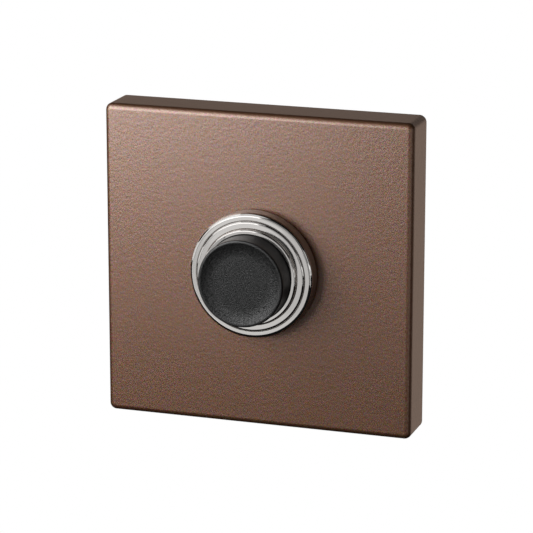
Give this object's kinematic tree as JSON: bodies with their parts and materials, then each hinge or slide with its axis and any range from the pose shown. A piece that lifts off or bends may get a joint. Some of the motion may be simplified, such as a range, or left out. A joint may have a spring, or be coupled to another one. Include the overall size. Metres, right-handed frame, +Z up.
{
  "type": "doorbell push button",
  "caption": "Square doorbell push button for wall mounting: a coated rose with a stepped chrome bezel and a dished round button that springs back after it is pressed.",
  "frame": {"origin": "centre of the wall plane behind the rose, on the button's axis", "axes": "+Z up the wall, -Y out of the wall towards the person who presses, +X to that person's right"},
  "size_m": [0.05, 0.0256, 0.05],
  "materials": {
    "coated_rose": "brown metallic powder coat with a fine texture, on die-cast zinc",
    "chrome_plate": "polished chrome plate on turned brass",
    "black_rubber": "matt",
    "button_moulding": "finely grained black moulding",
    "black_moulding": "plain black moulding",
    "light_moulding": "light grey moulding",
    "plain_brass": "turned and stamped, bright",
    "zinc_steel": "bright zinc plate",
    "spring_steel": "oiled spring steel",
    "contact_silver": "silver contact metal"
  },
  "bodies": {
    "housing": {"rose_cover": "coated_rose", "mounting_plate": "light_moulding", "bezel_ring": "chrome_plate", "sealing_ring": "black_rubber", "lock_washer": "zinc_steel", "bezel_nut": "plain_brass", "switch_housing": "black_moulding", "contact_carrier": "black_moulding", "retaining_ring": "spring_steel", "left_terminal": "plain_brass", "right_terminal": "plain_brass", "contact_rivets": "contact_silver", "terminal_clamps": "zinc_steel", "terminal_screws": "zinc_steel", "return_spring": "spring_steel"},
    "plunger": {"push_button": "button_moulding", "contact_bridge": "plain_brass", "bridge_retainer": "spring_steel"}
  },
  "joints": [
    {"name": "button_press", "type": "slide", "parent": "housing", "child": "plunger", "axis": [0, 1, 0], "range_m": [0, 0.0022], "stiffness_N_per_m": 600, "springref_m": -0.002, "deforming": ["return_spring"]}
  ]
}
